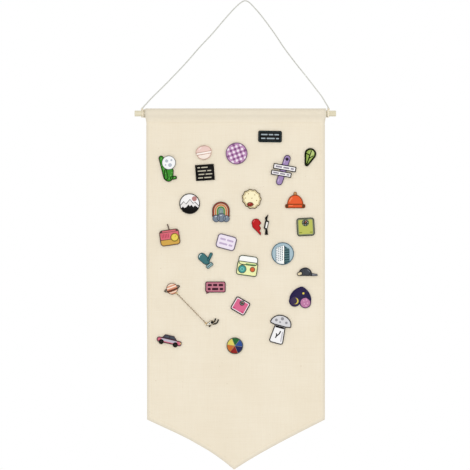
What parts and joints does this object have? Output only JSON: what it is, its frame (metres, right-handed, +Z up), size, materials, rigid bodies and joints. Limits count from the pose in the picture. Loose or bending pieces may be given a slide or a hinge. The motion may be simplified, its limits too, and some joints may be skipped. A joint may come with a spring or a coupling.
{
  "type": "pin badge board",
  "caption": "Canvas pennant on a wooden dowel and hanging cord that displays enamel pins, each held through the cloth by a post and a butterfly clutch.",
  "frame": {"origin": "the nail contact, under the middle of the cord where it lies on its nail", "axes": "+Z up, the front of the canvas and the pins face -Y, +X is to the right as seen from the front"},
  "size_m": [0.282, 0.0135, 0.6569],
  "materials": {
    "canvas": "natural cotton canvas, plain weave",
    "pale_wood": "bare sanded wood",
    "cotton_cord": "thin twisted cotton",
    "gold_chain": "polished",
    "clutch_brass": "stamped and plated",
    "enamel_green": "green and white enamel in dark plated metal",
    "enamel_shell_pink": "pale pink and cream enamel in rose-gold plated metal",
    "enamel_lilac": "lilac and white enamel in dark plated metal",
    "enamel_black": "black enamel with pale raised bars",
    "enamel_lime": "lime enamel in dark plated metal",
    "enamel_white": "white enamel in black plated metal",
    "enamel_cream": "cream enamel in brown plated metal",
    "enamel_peach": "peach enamel with further colours in gold plated metal",
    "enamel_orange": "orange enamel in brown plated metal",
    "enamel_rose": "rose enamel with further colours in dark plated metal",
    "enamel_pale_lilac": "pale lilac enamel in grey plated metal",
    "enamel_red": "red enamel in dark red plated metal",
    "enamel_sky": "pale blue and teal enamel in dark plated metal",
    "enamel_teal": "teal enamel in dark plated metal",
    "enamel_yellow": "yellow enamel with further colours in silver plated metal",
    "enamel_grey": "grey and cream enamel in silver plated metal"
  },
  "bodies": {
    "hanger": {"dowel": "pale_wood", "hanging_cord": "cotton_cord"},
    "banner": {"canvas_banner": "canvas", "link_chain": "gold_chain", "pin_planet": "enamel_peach", "pin_rocket": "enamel_white"},
    "cactus": {"pin_cactus": "enamel_green"},
    "macaron": {"pin_macaron": "enamel_shell_pink"},
    "gingham": {"pin_gingham": "enamel_lilac"},
    "label_black": {"pin_label_black": "enamel_black"},
    "leaf": {"pin_leaf": "enamel_lime"},
    "note_black": {"pin_note_black": "enamel_black"},
    "signpost": {"pin_signpost": "enamel_lilac"},
    "mountain": {"pin_mountain": "enamel_white"},
    "biscuit": {"pin_biscuit": "enamel_cream"},
    "rainbow": {"pin_rainbow": "enamel_peach"},
    "bell": {"pin_bell": "enamel_orange"},
    "radio_pink": {"pin_radio_pink": "enamel_rose"},
    "tag_lilac": {"pin_tag_lilac": "enamel_pale_lilac"},
    "half_heart": {"pin_half_heart": "enamel_red"},
    "bolt": {"pin_bolt": "enamel_black"},
    "scale_lime": {"pin_scale_lime": "enamel_lime"},
    "tower": {"pin_tower": "enamel_sky"},
    "mitten": {"pin_mitten": "enamel_teal"},
    "boombox": {"pin_boombox": "enamel_yellow"},
    "cap": {"pin_cap": "enamel_grey"},
    "speech": {"pin_speech": "enamel_rose"},
    "scale_pink": {"pin_scale_pink": "enamel_shell_pink"},
    "heart": {"pin_heart": "enamel_rose"},
    "car": {"pin_car": "enamel_rose"},
    "colour_wheel": {"pin_colour_wheel": "enamel_yellow"},
    "mushroom": {"pin_mushroom": "enamel_white"},
    "cactus_clutch": {"clutch_cactus": "clutch_brass"},
    "macaron_clutch": {"clutch_macaron": "clutch_brass"},
    "gingham_clutch": {"clutch_gingham": "clutch_brass"},
    "label_black_clutch": {"clutch_label_black": "clutch_brass"},
    "leaf_clutch": {"clutch_leaf": "clutch_brass"},
    "note_black_clutch": {"clutch_note_black": "clutch_brass"},
    "signpost_clutch": {"clutch_signpost": "clutch_brass"},
    "mountain_clutch": {"clutch_mountain": "clutch_brass"},
    "biscuit_clutch": {"clutch_biscuit": "clutch_brass"},
    "rainbow_clutch": {"clutch_rainbow": "clutch_brass"},
    "bell_clutch": {"clutch_bell": "clutch_brass"},
    "radio_pink_clutch": {"clutch_radio_pink": "clutch_brass"},
    "tag_lilac_clutch": {"clutch_tag_lilac": "clutch_brass"},
    "half_heart_clutch": {"clutch_half_heart": "clutch_brass"},
    "bolt_clutch": {"clutch_bolt": "clutch_brass"},
    "scale_lime_clutch": {"clutch_scale_lime": "clutch_brass"},
    "tower_clutch": {"clutch_tower": "clutch_brass"},
    "mitten_clutch": {"clutch_mitten": "clutch_brass"},
    "boombox_clutch": {"clutch_boombox": "clutch_brass"},
    "cap_clutch": {"clutch_cap": "clutch_brass"},
    "planet_clutch": {"clutch_planet": "clutch_brass"},
    "rocket_clutch": {"clutch_rocket": "clutch_brass"},
    "speech_clutch": {"clutch_speech": "clutch_brass"},
    "scale_pink_clutch": {"clutch_scale_pink": "clutch_brass"},
    "heart_clutch": {"clutch_heart": "clutch_brass"},
    "car_clutch": {"clutch_car": "clutch_brass"},
    "colour_wheel_clutch": {"clutch_colour_wheel": "clutch_brass"},
    "mushroom_clutch": {"clutch_mushroom": "clutch_brass"}
  },
  "joints": [
    {"name": "banner_swing", "type": "hinge", "parent": "hanger", "child": "banner", "pos_m": [-0.0133, 0, -0.1571], "axis": [-1, 0, 0], "range_deg": [-90, 90]},
    {"name": "cactus_turn", "type": "hinge", "parent": "banner", "child": "cactus", "pos_m": [-0.1086, 0, -0.2348], "axis": [0, -1, 0], "continuous": true},
    {"name": "macaron_turn", "type": "hinge", "parent": "banner", "child": "macaron", "pos_m": [-0.0576, 0, -0.2124], "axis": [0, -1, 0], "continuous": true},
    {"name": "gingham_turn", "type": "hinge", "parent": "banner", "child": "gingham", "pos_m": [-0.0119, 0, -0.2131], "axis": [0, -1, 0], "continuous": true},
    {"name": "label_black_turn", "type": "hinge", "parent": "banner", "child": "label_black", "pos_m": [0.0349, 0, -0.1894], "axis": [0, -1, 0], "continuous": true},
    {"name": "leaf_turn", "type": "hinge", "parent": "banner", "child": "leaf", "pos_m": [0.0903, 0, -0.2183], "axis": [0, -1, 0], "continuous": true},
    {"name": "note_black_turn", "type": "hinge", "parent": "banner", "child": "note_black", "pos_m": [-0.0562, 0, -0.2397], "axis": [0, -1, 0], "continuous": true},
    {"name": "signpost_turn", "type": "hinge", "parent": "banner", "child": "signpost", "pos_m": [0.0535, 0, -0.2365], "axis": [0, -1, 0], "continuous": true},
    {"name": "mountain_turn", "type": "hinge", "parent": "banner", "child": "mountain", "pos_m": [-0.0776, 0, -0.2834], "axis": [0, -1, 0], "continuous": true},
    {"name": "biscuit_turn", "type": "hinge", "parent": "banner", "child": "biscuit", "pos_m": [0.0086, 0, -0.2771], "axis": [0, -1, 0], "continuous": true},
    {"name": "rainbow_turn", "type": "hinge", "parent": "banner", "child": "rainbow", "pos_m": [-0.0338, 0, -0.2947], "axis": [0, -1, 0], "continuous": true},
    {"name": "bell_turn", "type": "hinge", "parent": "banner", "child": "bell", "pos_m": [0.0701, 0, -0.2785], "axis": [0, -1, 0], "continuous": true},
    {"name": "radio_pink_turn", "type": "hinge", "parent": "banner", "child": "radio_pink", "pos_m": [-0.1054, 0, -0.3307], "axis": [0, -1, 0], "continuous": true},
    {"name": "tag_lilac_turn", "type": "hinge", "parent": "banner", "child": "tag_lilac", "pos_m": [-0.0263, 0, -0.3373], "axis": [0, -1, 0], "continuous": true},
    {"name": "half_heart_turn", "type": "hinge", "parent": "banner", "child": "half_heart", "pos_m": [0.016, 0, -0.316], "axis": [0, -1, 0], "range_deg": [-40, 22]},
    {"name": "bolt_turn", "type": "hinge", "parent": "banner", "child": "bolt", "pos_m": [0.03, 0, -0.3126], "axis": [0, -1, 0], "range_deg": [-12, 40]},
    {"name": "scale_lime_turn", "type": "hinge", "parent": "banner", "child": "scale_lime", "pos_m": [0.0847, 0, -0.3159], "axis": [0, -1, 0], "continuous": true},
    {"name": "tower_turn", "type": "hinge", "parent": "banner", "child": "tower", "pos_m": [0.0526, 0, -0.3532], "axis": [0, -1, 0], "continuous": true},
    {"name": "mitten_turn", "type": "hinge", "parent": "banner", "child": "mitten", "pos_m": [-0.0557, 0, -0.3622], "axis": [0, -1, 0], "continuous": true},
    {"name": "boombox_turn", "type": "hinge", "parent": "banner", "child": "boombox", "pos_m": [0.0034, 0, -0.3702], "axis": [0, -1, 0], "continuous": true},
    {"name": "cap_turn", "type": "hinge", "parent": "banner", "child": "cap", "pos_m": [0.0871, 0, -0.3786], "axis": [0, -1, 0], "continuous": true},
    {"name": "speech_turn", "type": "hinge", "parent": "banner", "child": "speech", "pos_m": [-0.0415, 0, -0.4], "axis": [0, -1, 0], "continuous": true},
    {"name": "scale_pink_turn", "type": "hinge", "parent": "banner", "child": "scale_pink", "pos_m": [-0.0066, 0, -0.4266], "axis": [0, -1, 0], "continuous": true},
    {"name": "heart_turn", "type": "hinge", "parent": "banner", "child": "heart", "pos_m": [0.0778, 0, -0.414], "axis": [0, -1, 0], "continuous": true},
    {"name": "car_turn", "type": "hinge", "parent": "banner", "child": "car", "pos_m": [-0.106, 0, -0.4749], "axis": [0, -1, 0], "continuous": true},
    {"name": "colour_wheel_turn", "type": "hinge", "parent": "banner", "child": "colour_wheel", "pos_m": [-0.0143, 0, -0.4822], "axis": [0, -1, 0], "continuous": true},
    {"name": "mushroom_turn", "type": "hinge", "parent": "banner", "child": "mushroom", "pos_m": [0.0479, 0, -0.4592], "axis": [0, -1, 0], "continuous": true},
    {"name": "cactus_clutch_slide", "type": "slide", "parent": "cactus", "child": "cactus_clutch", "axis": [0, 1, 0], "range_m": [0, 0.008]},
    {"name": "macaron_clutch_slide", "type": "slide", "parent": "macaron", "child": "macaron_clutch", "axis": [0, 1, 0], "range_m": [0, 0.008]},
    {"name": "gingham_clutch_slide", "type": "slide", "parent": "gingham", "child": "gingham_clutch", "axis": [0, 1, 0], "range_m": [0, 0.008]},
    {"name": "label_black_clutch_slide", "type": "slide", "parent": "label_black", "child": "label_black_clutch", "axis": [0, 1, 0], "range_m": [0, 0.008]},
    {"name": "leaf_clutch_slide", "type": "slide", "parent": "leaf", "child": "leaf_clutch", "axis": [0, 1, 0], "range_m": [0, 0.008]},
    {"name": "note_black_clutch_slide", "type": "slide", "parent": "note_black", "child": "note_black_clutch", "axis": [0, 1, 0], "range_m": [0, 0.008]},
    {"name": "signpost_clutch_slide", "type": "slide", "parent": "signpost", "child": "signpost_clutch", "axis": [0, 1, 0], "range_m": [0, 0.008]},
    {"name": "mountain_clutch_slide", "type": "slide", "parent": "mountain", "child": "mountain_clutch", "axis": [0, 1, 0], "range_m": [0, 0.008]},
    {"name": "biscuit_clutch_slide", "type": "slide", "parent": "biscuit", "child": "biscuit_clutch", "axis": [0, 1, 0], "range_m": [0, 0.008]},
    {"name": "rainbow_clutch_slide", "type": "slide", "parent": "rainbow", "child": "rainbow_clutch", "axis": [0, 1, 0], "range_m": [0, 0.008]},
    {"name": "bell_clutch_slide", "type": "slide", "parent": "bell", "child": "bell_clutch", "axis": [0, 1, 0], "range_m": [0, 0.008]},
    {"name": "radio_pink_clutch_slide", "type": "slide", "parent": "radio_pink", "child": "radio_pink_clutch", "axis": [0, 1, 0], "range_m": [0, 0.008]},
    {"name": "tag_lilac_clutch_slide", "type": "slide", "parent": "tag_lilac", "child": "tag_lilac_clutch", "axis": [0, 1, 0], "range_m": [0, 0.008]},
    {"name": "half_heart_clutch_slide", "type": "slide", "parent": "half_heart", "child": "half_heart_clutch", "axis": [0, 1, 0], "range_m": [0, 0.008]},
    {"name": "bolt_clutch_slide", "type": "slide", "parent": "bolt", "child": "bolt_clutch", "axis": [0, 1, 0], "range_m": [0, 0.008]},
    {"name": "scale_lime_clutch_slide", "type": "slide", "parent": "scale_lime", "child": "scale_lime_clutch", "axis": [0, 1, 0], "range_m": [0, 0.008]},
    {"name": "tower_clutch_slide", "type": "slide", "parent": "tower", "child": "tower_clutch", "axis": [0, 1, 0], "range_m": [0, 0.008]},
    {"name": "mitten_clutch_slide", "type": "slide", "parent": "mitten", "child": "mitten_clutch", "axis": [0, 1, 0], "range_m": [0, 0.008]},
    {"name": "boombox_clutch_slide", "type": "slide", "parent": "boombox", "child": "boombox_clutch", "axis": [0, 1, 0], "range_m": [0, 0.008]},
    {"name": "cap_clutch_slide", "type": "slide", "parent": "cap", "child": "cap_clutch", "axis": [0, 1, 0], "range_m": [0, 0.008]},
    {"name": "planet_clutch_slide", "type": "slide", "parent": "banner", "child": "planet_clutch", "axis": [0, 1, 0], "range_m": [0, 0.008]},
    {"name": "rocket_clutch_slide", "type": "slide", "parent": "banner", "child": "rocket_clutch", "axis": [0, 1, 0], "range_m": [0, 0.008]},
    {"name": "speech_clutch_slide", "type": "slide", "parent": "speech", "child": "speech_clutch", "axis": [0, 1, 0], "range_m": [0, 0.008]},
    {"name": "scale_pink_clutch_slide", "type": "slide", "parent": "scale_pink", "child": "scale_pink_clutch", "axis": [0, 1, 0], "range_m": [0, 0.008]},
    {"name": "heart_clutch_slide", "type": "slide", "parent": "heart", "child": "heart_clutch", "axis": [0, 1, 0], "range_m": [0, 0.008]},
    {"name": "car_clutch_slide", "type": "slide", "parent": "car", "child": "car_clutch", "axis": [0, 1, 0], "range_m": [0, 0.008]},
    {"name": "colour_wheel_clutch_slide", "type": "slide", "parent": "colour_wheel", "child": "colour_wheel_clutch", "axis": [0, 1, 0], "range_m": [0, 0.008]},
    {"name": "mushroom_clutch_slide", "type": "slide", "parent": "mushroom", "child": "mushroom_clutch", "axis": [0, 1, 0], "range_m": [0, 0.008]}
  ]
}
